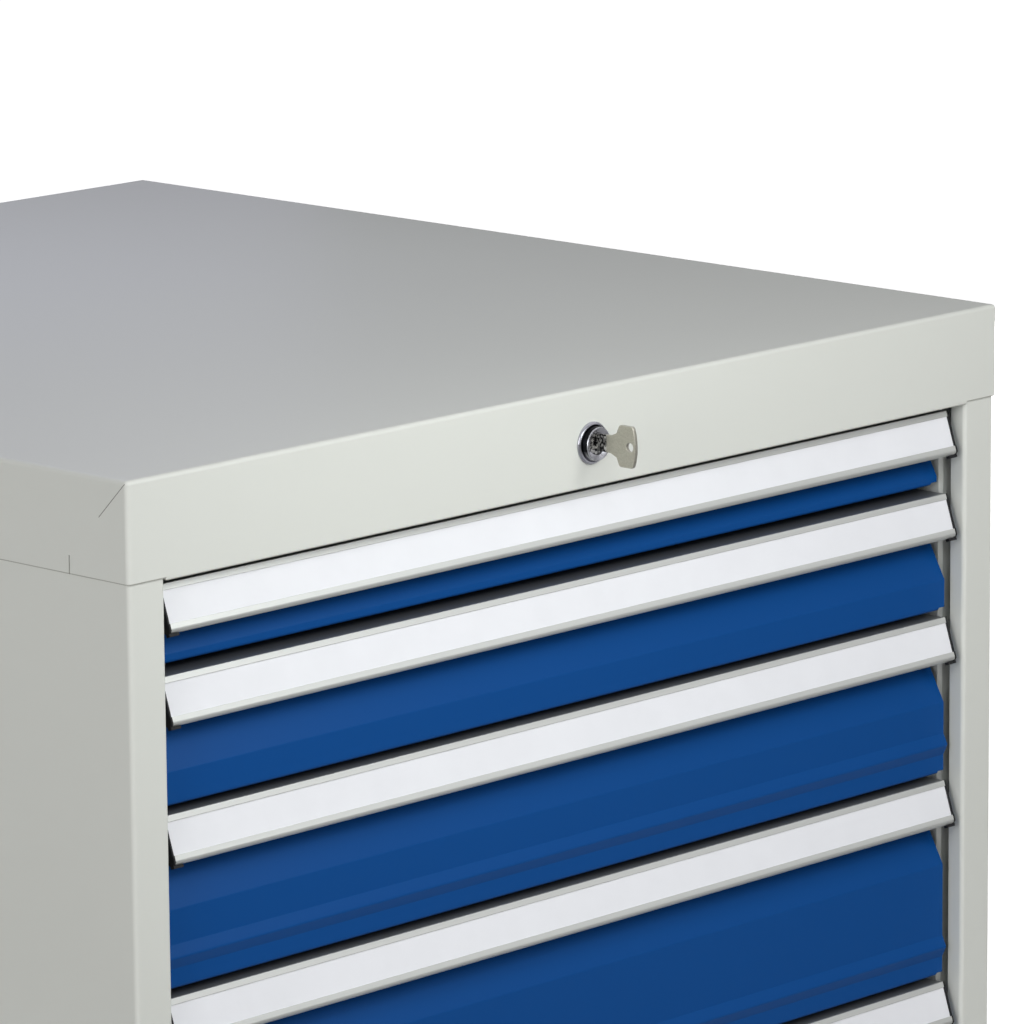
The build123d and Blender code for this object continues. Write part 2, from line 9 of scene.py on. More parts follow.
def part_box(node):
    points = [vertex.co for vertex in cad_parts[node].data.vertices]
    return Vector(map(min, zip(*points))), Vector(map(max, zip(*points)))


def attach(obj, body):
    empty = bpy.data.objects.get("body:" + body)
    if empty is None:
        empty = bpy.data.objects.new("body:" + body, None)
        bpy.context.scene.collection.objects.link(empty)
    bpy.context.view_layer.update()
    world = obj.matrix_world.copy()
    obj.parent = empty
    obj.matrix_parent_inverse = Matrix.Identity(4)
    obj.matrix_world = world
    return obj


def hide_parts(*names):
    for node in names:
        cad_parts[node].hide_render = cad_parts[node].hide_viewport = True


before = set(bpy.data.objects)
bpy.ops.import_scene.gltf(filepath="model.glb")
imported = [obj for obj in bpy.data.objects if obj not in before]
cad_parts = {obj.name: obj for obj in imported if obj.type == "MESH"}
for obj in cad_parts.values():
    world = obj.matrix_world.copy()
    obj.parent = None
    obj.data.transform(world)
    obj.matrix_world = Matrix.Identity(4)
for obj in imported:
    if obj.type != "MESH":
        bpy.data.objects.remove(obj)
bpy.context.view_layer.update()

# View of the cabinet's top, as a long lens sees it from the front left and a little above.
# The camera stands about 3.4 m from the top left front corner, with a slight roll.
camera_place = Vector((-2.602024, -2.787415, 1.518198))
camera_turn = math.radians(-46.3635)
camera_tilt = math.radians(11.7446)
camera_roll = math.radians(0.4538)
focal_length = 229.54
ahead = Vector(
    (
        -math.sin(camera_turn) * math.cos(camera_tilt),
        math.cos(camera_turn) * math.cos(camera_tilt),
        -math.sin(camera_tilt),
    )
)
level_right = Vector((math.cos(camera_turn), math.sin(camera_turn), 0))
level_down = ahead.cross(level_right)
image_right = math.cos(camera_roll) * level_right + math.sin(camera_roll) * level_down
image_down = math.cos(camera_roll) * level_down - math.sin(camera_roll) * level_right
lens = bpy.data.cameras.new("view")
lens.sensor_width = 36
lens.lens = focal_length
lens.clip_start = 0.1
lens.clip_end = 60
camera = bpy.data.objects.new("view", lens)
axes = Matrix((image_right, -image_down, -ahead)).transposed().to_4x4()
camera.matrix_world = Matrix.Translation(camera_place) @ axes
bpy.context.collection.objects.link(camera)
bpy.context.scene.camera = camera

# White studio: the camera, gloss and glass see a white room, and plain surfaces get a softer light from it.
# The floor is a pale sheet that keeps the cabinet's shadow.
room_light = 0.12
floor_half = 9.0
floor_colour = (0.6, 0.6, 0.6, 1)
floor_glow = 0.98
world = bpy.data.worlds.new("white_room")
bpy.context.scene.world = world
world.use_nodes = True
nodes, links = world.node_tree.nodes, world.node_tree.links
background = nodes["Background"]
background.inputs["Color"].default_value = (1, 1, 1, 1)
paths = nodes.new("ShaderNodeLightPath")
seen = nodes.new("ShaderNodeMath")
seen.operation = "MAXIMUM"
links.new(paths.outputs["Is Camera Ray"], seen.inputs[0])
links.new(paths.outputs["Is Glossy Ray"], seen.inputs[1])
seen_through = nodes.new("ShaderNodeMath")
seen_through.operation = "MAXIMUM"
links.new(seen.outputs[0], seen_through.inputs[0])
links.new(paths.outputs["Is Transmission Ray"], seen_through.inputs[1])
strength = nodes.new("ShaderNodeMapRange")
strength.inputs["To Min"].default_value = room_light
strength.inputs["To Max"].default_value = 1
links.new(seen_through.outputs[0], strength.inputs["Value"])
links.new(strength.outputs["Result"], background.inputs["Strength"])

floor_mesh = bpy.data.meshes.new("floor")
corners = [(x * floor_half, y * floor_half, 0) for x, y in ((-1, -1), (1, -1), (1, 1), (-1, 1))]
floor_mesh.from_pydata(corners, [], [(0, 1, 2, 3)])
floor = bpy.data.objects.new("floor", floor_mesh)
bpy.context.collection.objects.link(floor)
floor_paint = bpy.data.materials.new("floor_paint")
floor_paint.use_nodes = True
nodes, links = floor_paint.node_tree.nodes, floor_paint.node_tree.links
sheet = nodes["Principled BSDF"]
sheet.inputs["Base Color"].default_value = floor_colour
sheet.inputs["Roughness"].default_value = 0.9
sheet.inputs["Specular IOR Level"].default_value = 0
sheet.inputs["Emission Color"].default_value = (1, 1, 1, 1)
paths = nodes.new("ShaderNodeLightPath")
glow = nodes.new("ShaderNodeMath")
glow.operation = "MULTIPLY"
glow.inputs[1].default_value = floor_glow
links.new(paths.outputs["Is Camera Ray"], glow.inputs[0])
links.new(glow.outputs[0], sheet.inputs["Emission Strength"])
floor_mesh.materials.append(floor_paint)


# Soft lamps: a large box high in front, one on the left, small ones near the fascia and the top, and a low
# one behind on the right, which lights the back and right side but not the top.
# Each is a rectangle that faces the cabinet, and its strength is what white paper would show at its target.
def softbox(name, place, target, size, level, colour):
    """Area lamp whose light on white paper facing it at the target has the given level."""
    place, target = Vector(place), Vector(target)
    lamp = bpy.data.lights.new(name, "AREA")
    lamp.shape = "RECTANGLE"
    lamp.size, lamp.size_y = size
    lamp.energy = level * math.pi**2 * (place - target).length_squared
    lamp.color = colour
    holder = bpy.data.objects.new(name, lamp)
    holder.location = place
    holder.rotation_euler = (target - place).to_track_quat("-Z", "Y").to_euler()
    bpy.context.collection.objects.link(holder)


cabinet_middle = (0, -0.368, 0.6)
side_middle = (-0.35, 0, 0.7)
fascia_bright_spot = (-0.12, -0.368, 0.83)
top_middle = (-0.05, 0.25, 0.85)
low_middle = (0, 0, 0.45)
softbox("front_box", (0.35, -2.7, 1.95), cabinet_middle, (1.6, 1.2), 0.525, (1.0, 1.0, 0.985))
softbox("left_box", (-5.2, -1.2, 1.9), side_middle, (3.0, 3.0), 0.53, (1.0, 1.0, 0.99))
softbox("near_box", (-0.1, -0.85, 1.12), fascia_bright_spot, (0.5, 0.3), 0.50, (0.95, 1.0, 0.985))
softbox("top_box", (-0.05, 0.25, 1.45), top_middle, (0.4, 0.4), 0.2, (0.88, 0.95, 1.2))
softbox("back_box", (3.2, 3.4, 0.45), low_middle, (2.4, 0.75), 0.55, (1.0, 1.0, 0.99))


# Cards of a photographer: glowing sheets that only gloss sees.
# The three in front shade the bright metal along the rails. The one behind and the one on the right tint and
# shade the sheen of the top.
def card(name, corner, along, up, glow):
    """Rectangle with one corner, two edges from it, and the colour that gloss sees in it."""
    corner, along, up = Vector(corner), Vector(along), Vector(up)
    mesh = bpy.data.meshes.new(name)
    mesh.from_pydata([corner, corner + along, corner + along + up, corner + up], [], [(0, 1, 2, 3)])
    sheet = bpy.data.objects.new(name, mesh)
    bpy.context.collection.objects.link(sheet)
    paint = bpy.data.materials.new(name)
    paint.use_nodes = True
    shade = paint.node_tree.nodes["Principled BSDF"]
    shade.inputs["Base Color"].default_value = (0.02, 0.02, 0.02, 1)
    shade.inputs["Roughness"].default_value = 0.9
    shade.inputs["Emission Color"].default_value = (*glow, 1)
    shade.inputs["Emission Strength"].default_value = 1
    mesh.materials.append(paint)
    sheet.visible_camera = False
    sheet.visible_diffuse = False
    sheet.visible_transmission = False
    sheet.visible_shadow = False


rail_card_y = -1.15
rail_card_foot = 0.1
rail_card_height = 2.1
rail_cards = (
    ("right_rail_card", 1.0, 2.4, 0.24),
    ("middle_rail_card", 0.5, 1.0, 0.64),
    ("left_rail_card", -0.6, 0.5, 0.34),
)
for name, left, right, glow in rail_cards:
    corner = (left, rail_card_y, rail_card_foot)
    card(name, corner, (right - left, 0, 0), (0, 0, rail_card_height), (glow, glow, glow))
card("sky_card", (-1.0, 2.6, 0.0), (7.0, 0, 0), (0, 0, 4.0), (0.56, 0.55, 0.68))
card("side_card", (0.75, -0.4, 0.8), (0, 1.0, 0), (0, 0, 0.5), (0.35, 0.35, 0.36))


# Powder coat on the folded sheets of the housing: light grey, satin, over sheet steel.
# It is baked on in one coat, so it has a fine orange peel and slight drifts of shade and gloss.
def powder_group():
    """Group whose height is a fine noise, and whose shade and gloss are broad noises about 1 and 0."""
    group = bpy.data.node_groups.new("powder_skin", "ShaderNodeTree")
    for name, value in (("Grain", 900.0), ("Drift", 2.5)):
        socket = group.interface.new_socket(name, in_out="INPUT", socket_type="NodeSocketFloat")
        socket.default_value = value
    for name in ("Height", "Shade", "Gloss"):
        group.interface.new_socket(name, in_out="OUTPUT", socket_type="NodeSocketFloat")
    nodes, links = group.nodes, group.links
    inlet = nodes.new("NodeGroupInput")
    outlet = nodes.new("NodeGroupOutput")
    place = nodes.new("ShaderNodeTexCoord")
    grain = nodes.new("ShaderNodeTexNoise")
    grain.inputs["Detail"].default_value = 2
    links.new(place.outputs["Object"], grain.inputs["Vector"])
    links.new(inlet.outputs["Grain"], grain.inputs["Scale"])
    links.new(grain.outputs["Fac"], outlet.inputs["Height"])
    drift = nodes.new("ShaderNodeTexNoise")
    drift.inputs["Detail"].default_value = 3
    links.new(place.outputs["Object"], drift.inputs["Vector"])
    links.new(inlet.outputs["Drift"], drift.inputs["Scale"])
    for name, low, high in (("Shade", 0.985, 1.015), ("Gloss", -0.04, 0.04)):
        spread = nodes.new("ShaderNodeMapRange")
        spread.inputs["From Min"].default_value = 0.3
        spread.inputs["From Max"].default_value = 0.7
        spread.inputs["To Min"].default_value = low
        spread.inputs["To Max"].default_value = high
        links.new(drift.outputs["Fac"], spread.inputs["Value"])
        links.new(spread.outputs["Result"], outlet.inputs[name])
    return group


powder_skin = powder_group()
peel_depth = 0.00004


def skinned_material(name, colour, roughness, **skin_inputs):
    """New material whose colour is multiplied by the skin's shade and whose roughness has its gloss added.

    Gives the material, its shader node and its skin node.
    """
    material = bpy.data.materials.new(name)
    material.use_nodes = True
    nodes, links = material.node_tree.nodes, material.node_tree.links
    shader = nodes["Principled BSDF"]
    skin = nodes.new("ShaderNodeGroup")
    skin.node_tree = powder_skin
    for socket, value in skin_inputs.items():
        skin.inputs[socket].default_value = value
    tint = nodes.new("ShaderNodeMix")
    tint.name = "tint"
    tint.data_type = "RGBA"
    tint.blend_type = "MULTIPLY"
    tint.inputs["Factor"].default_value = 1
    tint.inputs["A"].default_value = (*colour, 1)
    links.new(skin.outputs["Shade"], tint.inputs["B"])
    links.new(tint.outputs["Result"], shader.inputs["Base Color"])
    gloss = nodes.new("ShaderNodeMath")
    gloss.operation = "ADD"
    gloss.inputs[0].default_value = roughness
    links.new(skin.outputs["Gloss"], gloss.inputs[1])
    links.new(gloss.outputs[0], shader.inputs["Roughness"])
    return material, shader, skin


def add_bump(material, height, strength, depth):
    """Bump on the material's shader from a height socket, with its depth in metres."""
    nodes, links = material.node_tree.nodes, material.node_tree.links
    bump = nodes.new("ShaderNodeBump")
    bump.inputs["Strength"].default_value = strength
    bump.inputs["Distance"].default_value = depth
    links.new(height, bump.inputs["Height"])
    links.new(bump.outputs["Normal"], nodes["Principled BSDF"].inputs["Normal"])


def powder_coat(name, colour, roughness, shine, grain):
    """Powder-coated steel: a skinned material with a bump from the grain."""
    material, coat, skin = skinned_material(name, colour, roughness, Grain=grain)
    coat.inputs["Specular IOR Level"].default_value = shine
    add_bump(material, skin.outputs["Height"], 0.25, peel_depth)
    return material


def dress(node, material):
    """Puts one material on all faces of a CAD node."""
    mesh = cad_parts[node].data
    mesh.materials.clear()
    mesh.materials.append(material)


body_grey = (0.66, 0.67, 0.635)
grey_coat = powder_coat("grey_coat", body_grey, 0.42, 0.5, 900)
housing = (
    "left_side_panel",
    "right_side_panel",
    "back_panel",
    "base_tray",
    "plinth",
    "left_posts",
    "right_posts",
)
for node in housing:
    dress(node, grey_coat)

# Top cover: one folded cap in the same grey, whose fascia and sides meet at each front corner. The joint
# shows on the side as a fine slanting line. A thin dark band along the lower edge is painted shadow, where
# the cover overhangs the body. Over the drawers the fascia ends in a lip that reaches lower than the rest of
# the edge.
seam_width = 0.0007
seam_reach = 0.0215
side_skin = 0.0004
edge_shadow_width = 0.0005
lip_drop = 0.0014
lip_half = -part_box("left_side_panel")[1].x
cover_coat = powder_coat("cover_coat", body_grey, 0.42, 0.5, 900)
cover_low, cover_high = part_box("top_cover")
nodes, links = cover_coat.node_tree.nodes, cover_coat.node_tree.links
place = nodes.new("ShaderNodeTexCoord")
parts = nodes.new("ShaderNodeSeparateXYZ")
links.new(place.outputs["Object"], parts.inputs[0])


def sum_of(first, second, scale):
    """Node in the cover's coat for the first socket or number plus the scale times the second."""
    node = nodes.new("ShaderNodeMath")
    node.operation = "MULTIPLY_ADD"
    node.inputs[1].default_value = scale
    links.new(second, node.inputs[0])
    if isinstance(first, float):
        node.inputs[2].default_value = first
    else:
        links.new(first, node.inputs[2])
    return node.outputs[0]


def within(value, limit):
    """Node in the cover's coat that is 1 where the value is less than the limit in size, and 0 elsewhere."""
    size = nodes.new("ShaderNodeMath")
    size.operation = "ABSOLUTE"
    links.new(value, size.inputs[0])
    inside = nodes.new("ShaderNodeMath")
    inside.operation = "LESS_THAN"
    inside.inputs[1].default_value = limit
    links.new(size.outputs[0], inside.inputs[0])
    return inside.outputs[0]


def both(first, second):
    """Node in the cover's coat for the product of two masks."""
    node = nodes.new("ShaderNodeMath")
    node.operation = "MULTIPLY"
    links.new(first, node.inputs[0])
    links.new(second, node.inputs[1])
    return node.outputs[0]


behind_front = sum_of(-cover_low.y, parts.outputs["Y"], 1.0)
below_top = sum_of(cover_high.z, parts.outputs["Z"], -1.0)
off_seam = sum_of(behind_front, below_top, -1.0)
outward = nodes.new("ShaderNodeMath")
outward.operation = "ABSOLUTE"
links.new(parts.outputs["X"], outward.inputs[0])
from_side = sum_of(cover_high.x, outward.outputs[0], -1.0)
slanting_line = both(within(off_seam, seam_width / 2), within(behind_front, seam_reach))
seam_mask = both(slanting_line, within(from_side, side_skin))
above_lip = sum_of(-cover_low.z, parts.outputs["Z"], 1.0)
above_edge = sum_of(-cover_low.z - lip_drop, parts.outputs["Z"], 1.0)
beside_lip = nodes.new("ShaderNodeMath")
beside_lip.operation = "GREATER_THAN"
beside_lip.inputs[1].default_value = lip_half
links.new(outward.outputs[0], beside_lip.inputs[0])
# Painted shadow: a thin dark band along the cover's lower edge, where it overhangs the body.
painted_edge_shadow_mask = nodes.new("ShaderNodeMath")
painted_edge_shadow_mask.operation = "MAXIMUM"
links.new(within(above_lip, edge_shadow_width), painted_edge_shadow_mask.inputs[0])
links.new(both(within(above_edge, edge_shadow_width), beside_lip.outputs[0]), painted_edge_shadow_mask.inputs[1])
seam = nodes.new("ShaderNodeMix")
seam.data_type = "RGBA"
seam.inputs["B"].default_value = (0.22, 0.22, 0.20, 1)
links.new(seam_mask, seam.inputs["Factor"])
links.new(nodes["tint"].outputs["Result"], seam.inputs["A"])
edge = nodes.new("ShaderNodeMix")
edge.data_type = "RGBA"
edge.inputs["B"].default_value = (0.36, 0.36, 0.33, 1)
links.new(painted_edge_shadow_mask.outputs[0], edge.inputs["Factor"])
links.new(seam.outputs["Result"], edge.inputs["A"])
links.new(edge.outputs["Result"], nodes["Principled BSDF"].inputs["Base Color"])
dress("top_cover", cover_coat)

# Drawer fronts: folded sheet in deep blue powder coat, hung by a flange under the rail.
# The coat is satin and dark, so it shows little gloss.
blue_coat = powder_coat("blue_coat", (0.001, 0.060, 0.245), 0.42, 0.12, 700)
drawer_count = 6
for number in range(1, drawer_count + 1):
    dress(f"drawer_{number}_front", blue_coat)

# Drawer trays: bent sheet with hemmed edges in the housing's grey, spot-welded at the corners.
# Each has a strap at its back, the keeper, with a lip turned down in front of the lock bar.
for number in range(1, drawer_count + 1):
    dress(f"drawer_{number}_tray", grey_coat)


# Handle rails: extruded aluminium, anodised, with fine die lines along their length.
# Their edges are slightly broken by the die, so each rail is a copy of its solid with small bevels.
rail_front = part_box("drawer_1_handle_rail")[0].y
face_depth = 0.0095
leg_shade_depth = 0.026
rail_edge = 0.0002


def anodised_aluminium():
    """Metal whose gloss and height follow a noise stretched a thousand times along X.

    Behind the face, the leg under the next drawer takes a darker colour, darker still with its depth:
    painted shade from the drawer above.
    """
    material = bpy.data.materials.new("anodised_aluminium")
    material.use_nodes = True
    nodes, links = material.node_tree.nodes, material.node_tree.links
    metal = nodes["Principled BSDF"]
    metal.inputs["Metallic"].default_value = 0.9
    place = nodes.new("ShaderNodeTexCoord")
    stretch = nodes.new("ShaderNodeMapping")
    stretch.inputs["Scale"].default_value = (2, 2500, 2500)
    links.new(place.outputs["Object"], stretch.inputs["Vector"])
    lines = nodes.new("ShaderNodeTexNoise")
    lines.inputs["Scale"].default_value = 1
    lines.inputs["Detail"].default_value = 3
    links.new(stretch.outputs["Vector"], lines.inputs["Vector"])
    colour = nodes.new("ShaderNodeMix")
    colour.data_type = "RGBA"
    colour.inputs["A"].default_value = (0.55, 0.565, 0.55, 1)
    colour.inputs["B"].default_value = (0.63, 0.64, 0.63, 1)
    links.new(lines.outputs["Fac"], colour.inputs["Factor"])
    parts = nodes.new("ShaderNodeSeparateXYZ")
    links.new(place.outputs["Object"], parts.inputs[0])
    # Painted shade: the leg behind the face darkens towards its back, where the drawer above shadows it.
    behind = nodes.new("ShaderNodeMapRange")
    behind.inputs["From Min"].default_value = rail_front + face_depth
    behind.inputs["From Max"].default_value = rail_front + leg_shade_depth
    links.new(parts.outputs["Y"], behind.inputs["Value"])
    painted_leg_shade = nodes.new("ShaderNodeMix")
    painted_leg_shade.data_type = "RGBA"
    painted_leg_shade.inputs["A"].default_value = (0.34, 0.35, 0.36, 1)
    painted_leg_shade.inputs["B"].default_value = (0.07, 0.075, 0.095, 1)
    links.new(behind.outputs["Result"], painted_leg_shade.inputs["Factor"])
    on_leg = nodes.new("ShaderNodeMath")
    on_leg.operation = "GREATER_THAN"
    on_leg.inputs[1].default_value = rail_front + face_depth
    links.new(parts.outputs["Y"], on_leg.inputs[0])
    skin = nodes.new("ShaderNodeMix")
    skin.data_type = "RGBA"
    links.new(on_leg.outputs[0], skin.inputs["Factor"])
    links.new(colour.outputs["Result"], skin.inputs["A"])
    links.new(painted_leg_shade.outputs["Result"], skin.inputs["B"])
    links.new(skin.outputs["Result"], metal.inputs["Base Color"])
    gloss = nodes.new("ShaderNodeMapRange")
    gloss.inputs["To Min"].default_value = 0.42
    gloss.inputs["To Max"].default_value = 0.58
    links.new(lines.outputs["Fac"], gloss.inputs["Value"])
    links.new(gloss.outputs["Result"], metal.inputs["Roughness"])
    add_bump(material, lines.outputs["Fac"], 0.15, 0.00002)
    return material


def broken_edges(node, name, width, material):
    """Merged copy of a CAD node with a two-step bevel of the given width on its sharp edges."""
    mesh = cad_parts[node].data.copy()
    mesh.name = name
    mesh.materials.clear()
    mesh.materials.append(material)
    work = bmesh.new()
    work.from_mesh(mesh)
    bmesh.ops.remove_doubles(work, verts=work.verts, dist=1e-6)
    bmesh.ops.dissolve_limit(work, angle_limit=math.radians(1), verts=work.verts, edges=work.edges)
    work.to_mesh(mesh)
    work.free()
    piece = bpy.data.objects.new(name, mesh)
    bpy.context.collection.objects.link(piece)
    bevel = piece.modifiers.new("broken_edges", "BEVEL")
    bevel.width = width
    bevel.segments = 2
    bevel.limit_method = "ANGLE"
    bevel.angle_limit = math.radians(35)
    bevel.harden_normals = True
    return piece


rail_metal = anodised_aluminium()
for number in range(1, drawer_count + 1):
    node = f"drawer_{number}_handle_rail"
    rail = broken_edges(node, f"handle_rail_{number}", rail_edge, rail_metal)
    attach(rail, f"drawer_{number}")
    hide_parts(node)


# End caps: thin black mouldings pressed into the rail's ends.
# The plastic has little shine and a finer grain than the powder coat.
cap_black = (0.012, 0.012, 0.014)
cap_plastic, plastic_shader, plastic_skin = skinned_material("cap_plastic", cap_black, 0.5, Grain=2500)
plastic_shader.inputs["Specular IOR Level"].default_value = 0.2
add_bump(cap_plastic, plastic_skin.outputs["Height"], 0.2, 0.00003)
for number in range(1, drawer_count + 1):
    dress(f"drawer_{number}_end_caps", cap_plastic)


# Label strips: white paper under a clear film, slid into the rail's channel.
# The paper is matt, and a thin clear coat over it stands for the film.
def label_paper():
    """White paper with a faint fibre mottle under a smooth clear coat."""
    material = bpy.data.materials.new("label_paper")
    material.use_nodes = True
    nodes, links = material.node_tree.nodes, material.node_tree.links
    paper = nodes["Principled BSDF"]
    paper.inputs["Roughness"].default_value = 0.6
    paper.inputs["Coat Weight"].default_value = 0.35
    paper.inputs["Coat Roughness"].default_value = 0.15
    skin = nodes.new("ShaderNodeGroup")
    skin.node_tree = powder_skin
    skin.inputs["Drift"].default_value = 40
    tint = nodes.new("ShaderNodeMix")
    tint.data_type = "RGBA"
    tint.blend_type = "MULTIPLY"
    tint.inputs["Factor"].default_value = 1
    tint.inputs["A"].default_value = (0.80, 0.805, 0.848, 1)
    links.new(skin.outputs["Shade"], tint.inputs["B"])
    links.new(tint.outputs["Result"], paper.inputs["Base Color"])
    return material


label_white = label_paper()
for number in range(1, drawer_count + 1):
    dress(f"drawer_{number}_label_strip", label_white)


# Runners, lock bar, crank and brackets: cold-rolled steel with bright zinc plating.
# The plating is blue-white, with a small-celled spangle that shows where light grazes it.
def zinc_plate():
    """Metal with a small-celled spangle in its colour and gloss."""
    material = bpy.data.materials.new("zinc_plate")
    material.use_nodes = True
    nodes, links = material.node_tree.nodes, material.node_tree.links
    metal = nodes["Principled BSDF"]
    metal.inputs["Metallic"].default_value = 1
    place = nodes.new("ShaderNodeTexCoord")
    cells = nodes.new("ShaderNodeTexVoronoi")
    cells.inputs["Scale"].default_value = 320
    links.new(place.outputs["Object"], cells.inputs["Vector"])
    colour = nodes.new("ShaderNodeMix")
    colour.data_type = "RGBA"
    colour.inputs["A"].default_value = (0.55, 0.57, 0.60, 1)
    colour.inputs["B"].default_value = (0.70, 0.71, 0.72, 1)
    links.new(cells.outputs["Distance"], colour.inputs["Factor"])
    links.new(colour.outputs["Result"], metal.inputs["Base Color"])
    gloss = nodes.new("ShaderNodeMapRange")
    gloss.inputs["To Min"].default_value = 0.25
    gloss.inputs["To Max"].default_value = 0.42
    links.new(cells.outputs["Distance"], gloss.inputs["Value"])
    links.new(gloss.outputs["Result"], metal.inputs["Roughness"])
    return material


zinc = zinc_plate()
fittings = ["cabinet_members", "lock_bar", "lock_bar_guides", "shaft_bracket"]
fittings += ["lock_shaft", "lock_crank", "lock_nut"]
for number in range(1, drawer_count + 1):
    fittings += [f"drawer_{number}_drawer_members", f"drawer_{number}_middle_members"]
for node in fittings:
    dress(node, zinc)


# Lock housing: a turned and chromed barrel with a stepped, rounded ring that seats on the fascia.
# A raised boss stands inside the ring, past a narrow groove with painted shade and reflection at its upper
# left.
# It has a dished face and the plug's bore.
housing_low, housing_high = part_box("lock_housing")
fascia = cover_low.y
lock_height = (housing_low.z + housing_high.z) / 2
groove_grey_at = -0.002
groove_black_at = 0.006


def lock_metal(name, colour, roughness):
    """Metal with an uneven polish."""
    material, metal, _ = skinned_material(name, colour, roughness, Drift=300)
    metal.inputs["Metallic"].default_value = 1
    return material


def painted_groove_shade():
    """Painted shade and reflection, from black at the groove's upper left to grey at its lower right.

    It follows the height less the place along X.
    """
    material = lock_metal("groove_painted_shade", (1, 1, 1), 0.3)
    nodes, links = material.node_tree.nodes, material.node_tree.links
    place = nodes.new("ShaderNodeTexCoord")
    parts = nodes.new("ShaderNodeSeparateXYZ")
    links.new(place.outputs["Object"], parts.inputs[0])
    leftward = nodes.new("ShaderNodeMath")
    leftward.operation = "SUBTRACT"
    links.new(parts.outputs["Z"], leftward.inputs[0])
    links.new(parts.outputs["X"], leftward.inputs[1])
    # Painted shade and reflection: black towards the groove's upper left, grey towards its lower right.
    black = nodes.new("ShaderNodeMapRange")
    black.inputs["From Min"].default_value = lock_height + groove_grey_at
    black.inputs["From Max"].default_value = lock_height + groove_black_at
    links.new(leftward.outputs[0], black.inputs["Value"])
    colour = nodes.new("ShaderNodeMix")
    colour.data_type = "RGBA"
    colour.inputs["A"].default_value = (0.42, 0.42, 0.45, 1)
    colour.inputs["B"].default_value = (0.012, 0.012, 0.015, 1)
    links.new(black.outputs["Result"], colour.inputs["Factor"])
    links.new(colour.outputs["Result"], nodes["Principled BSDF"].inputs["Base Color"])
    return material


def turned(name, profile, finishes, sides, materials):
    """Surface turned about the lock's axis, closed along the profile and all round.

    A profile point of radius r and depth d gives, for each angle a, the point
    (r cos a, fascia + d, axis height + r sin a). Band k takes the material finishes[k].
    """
    radius, depth = np.array(profile).T
    angle = np.linspace(0, 2 * np.pi, sides, endpoint=False)
    x = np.outer(radius, np.cos(angle))
    y = fascia + np.repeat(depth[:, None], sides, axis=1)
    z = lock_height + np.outer(radius, np.sin(angle))
    points = np.stack((x, y, z), axis=-1).reshape(-1, 3)
    index = np.arange(len(profile) * sides).reshape(len(profile), sides)
    across = np.roll(index, -1, axis=0)
    faces = np.stack((index, across, np.roll(across, -1, axis=1), np.roll(index, -1, axis=1)), axis=-1)
    mesh = bpy.data.meshes.new(name)
    mesh.from_pydata(points.tolist(), [], faces.reshape(-1, 4).tolist())
    mesh.polygons.foreach_set("material_index", np.repeat(np.array(finishes, dtype=np.int32), sides))
    for material in materials:
        mesh.materials.append(material)
    work = bmesh.new()
    work.from_mesh(mesh)
    bmesh.ops.recalc_face_normals(work, faces=work.faces)
    work.to_mesh(mesh)
    work.free()
    mesh.shade_smooth()
    mesh.set_sharp_from_angle(angle=math.radians(25))
    piece = bpy.data.objects.new(name, mesh)
    bpy.context.collection.objects.link(piece)
    return piece


ring_radius = (housing_high.z - housing_low.z) / 2
boss_front = housing_low.y - fascia - 0.001
barrel_end = housing_high.y - fascia
barrel_radius = 0.0095
bore_radius = 0.00605
bright, dark, rim, inside = range(4)
lock_profile = (
    (ring_radius, 0.0),
    (ring_radius, -0.0009),
    (ring_radius - 0.0003, -0.0014),
    (ring_radius - 0.0008, -0.0018),
    (ring_radius - 0.0014, -0.0019),
    (ring_radius - 0.0019, -0.0016),
    (ring_radius - 0.0022, -0.0011),
    (barrel_radius + 0.0002, -0.0011),
    (barrel_radius, boss_front + 0.0005),
    (barrel_radius - 0.0002, boss_front + 0.0001),
    (barrel_radius - 0.0005, boss_front),
    (bore_radius + 0.0006, boss_front + 0.0007),
    (bore_radius + 0.0002, boss_front + 0.0010),
    (bore_radius, boss_front + 0.0014),
    (bore_radius, barrel_end),
    (barrel_radius, barrel_end),
    (barrel_radius, 0.0),
)
lock_finishes = (bright,) * 6 + (dark,) * 2 + (rim,) * 4 + (inside,) * 2 + (bright,) * 3
lock_materials = (
    lock_metal("chrome_plate", (0.42, 0.42, 0.47), 0.16),
    painted_groove_shade(),
    lock_metal("boss_rim_chrome", (0.44, 0.44, 0.48), 0.28),
    lock_metal("bore_tarnish", (0.08, 0.08, 0.085), 0.35),
)
lock_ring = turned("lock_ring_and_boss", lock_profile, lock_finishes, 96, lock_materials)
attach(lock_ring, "cabinet")
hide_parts("lock_housing")


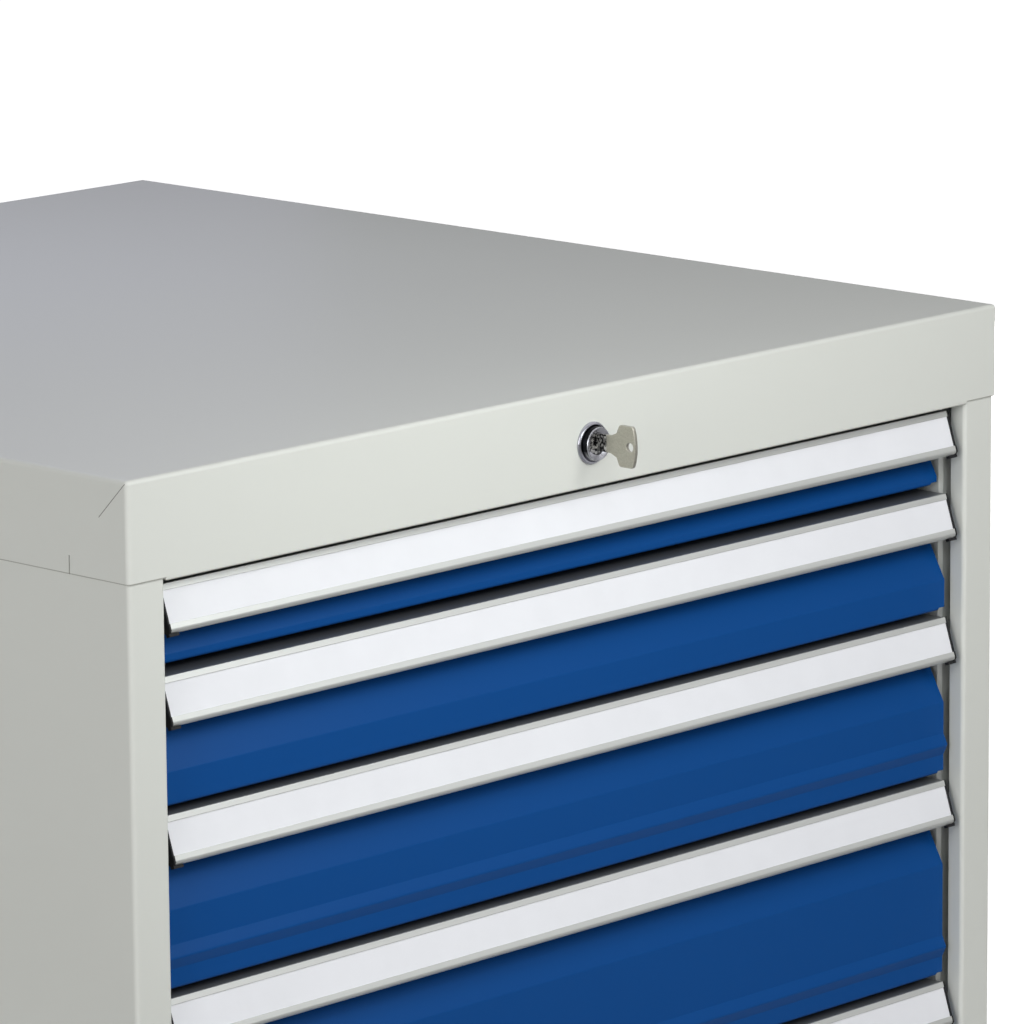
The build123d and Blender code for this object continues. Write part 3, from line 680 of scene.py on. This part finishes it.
# Lock plug: a turned metal cylinder in the boss, which turns with the key in its slot.
# Its face is dark and bright in small cells: painted glints and shade of the keyway and its serrations.
def painted_glint_metal():
    """Metal whose colour and gloss jump between dark and bright in small cells: painted glints and shade."""
    material = bpy.data.materials.new("plug_metal")
    material.use_nodes = True
    nodes, links = material.node_tree.nodes, material.node_tree.links
    metal = nodes["Principled BSDF"]
    metal.inputs["Metallic"].default_value = 1
    place = nodes.new("ShaderNodeTexCoord")
    cells = nodes.new("ShaderNodeTexVoronoi")
    cells.inputs["Scale"].default_value = 650
    links.new(place.outputs["Object"], cells.inputs["Vector"])
    # Painted glints and shade: bright and dark cells stand in for the keyway and its serrations.
    ramp = nodes.new("ShaderNodeValToRGB")
    ramp.color_ramp.elements[0].position = 0.35
    ramp.color_ramp.elements[0].color = (0.03, 0.03, 0.035, 1)
    ramp.color_ramp.elements[1].position = 0.75
    ramp.color_ramp.elements[1].color = (0.75, 0.75, 0.74, 1)
    links.new(cells.outputs["Color"], ramp.inputs["Fac"])
    links.new(ramp.outputs["Color"], metal.inputs["Base Color"])
    gloss = nodes.new("ShaderNodeMapRange")
    gloss.inputs["To Min"].default_value = 0.15
    gloss.inputs["To Max"].default_value = 0.4
    links.new(cells.outputs["Distance"], gloss.inputs["Value"])
    links.new(gloss.outputs["Result"], metal.inputs["Roughness"])
    return material


dress("lock_plug", painted_glint_metal())


# Key: flat blank of nickel silver, stamped and tumbled, so its edges are broken.
# The bow is satin with a fine speckle, and the neck is dark and bright in small cells beside the plug.
key_edge = 0.00025
neck_end = 0.0125
neck_blend = 0.001


def nickel_silver():
    """Satin metal with a speckle, and dark and bright cells on the neck, by distance from the fascia."""
    material = bpy.data.materials.new("nickel_silver")
    material.use_nodes = True
    nodes, links = material.node_tree.nodes, material.node_tree.links
    metal = nodes["Principled BSDF"]
    metal.inputs["Metallic"].default_value = 1
    place = nodes.new("ShaderNodeTexCoord")
    speckle = nodes.new("ShaderNodeTexNoise")
    speckle.inputs["Scale"].default_value = 1400
    speckle.inputs["Detail"].default_value = 3
    links.new(place.outputs["Object"], speckle.inputs["Vector"])
    satin = nodes.new("ShaderNodeMix")
    satin.data_type = "RGBA"
    satin.inputs["A"].default_value = (0.30, 0.285, 0.24, 1)
    satin.inputs["B"].default_value = (0.56, 0.545, 0.48, 1)
    links.new(speckle.outputs["Fac"], satin.inputs["Factor"])
    cells = nodes.new("ShaderNodeTexVoronoi")
    cells.inputs["Scale"].default_value = 800
    links.new(place.outputs["Object"], cells.inputs["Vector"])
    neck_cells = nodes.new("ShaderNodeValToRGB")
    neck_cells.color_ramp.elements[0].position = 0.4
    neck_cells.color_ramp.elements[0].color = (0.03, 0.03, 0.03, 1)
    neck_cells.color_ramp.elements[1].position = 0.8
    neck_cells.color_ramp.elements[1].color = (0.7, 0.69, 0.66, 1)
    links.new(cells.outputs["Color"], neck_cells.inputs["Fac"])
    parts = nodes.new("ShaderNodeSeparateXYZ")
    links.new(place.outputs["Object"], parts.inputs[0])
    neck = nodes.new("ShaderNodeMapRange")
    neck.inputs["From Min"].default_value = fascia - neck_end
    neck.inputs["From Max"].default_value = fascia - neck_end + neck_blend
    links.new(parts.outputs["Y"], neck.inputs["Value"])
    colour = nodes.new("ShaderNodeMix")
    colour.data_type = "RGBA"
    links.new(neck.outputs["Result"], colour.inputs["Factor"])
    links.new(satin.outputs["Result"], colour.inputs["A"])
    links.new(neck_cells.outputs["Color"], colour.inputs["B"])
    links.new(colour.outputs["Result"], metal.inputs["Base Color"])
    gloss = nodes.new("ShaderNodeMapRange")
    gloss.inputs["To Min"].default_value = 0.28
    gloss.inputs["To Max"].default_value = 0.45
    links.new(speckle.outputs["Fac"], gloss.inputs["Value"])
    links.new(gloss.outputs["Result"], metal.inputs["Roughness"])
    return material


key_blank = broken_edges("key", "key_blank", key_edge, nickel_silver())
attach(key_blank, "lock")
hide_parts("key")

bpy.context.scene.view_settings.view_transform = "Standard"
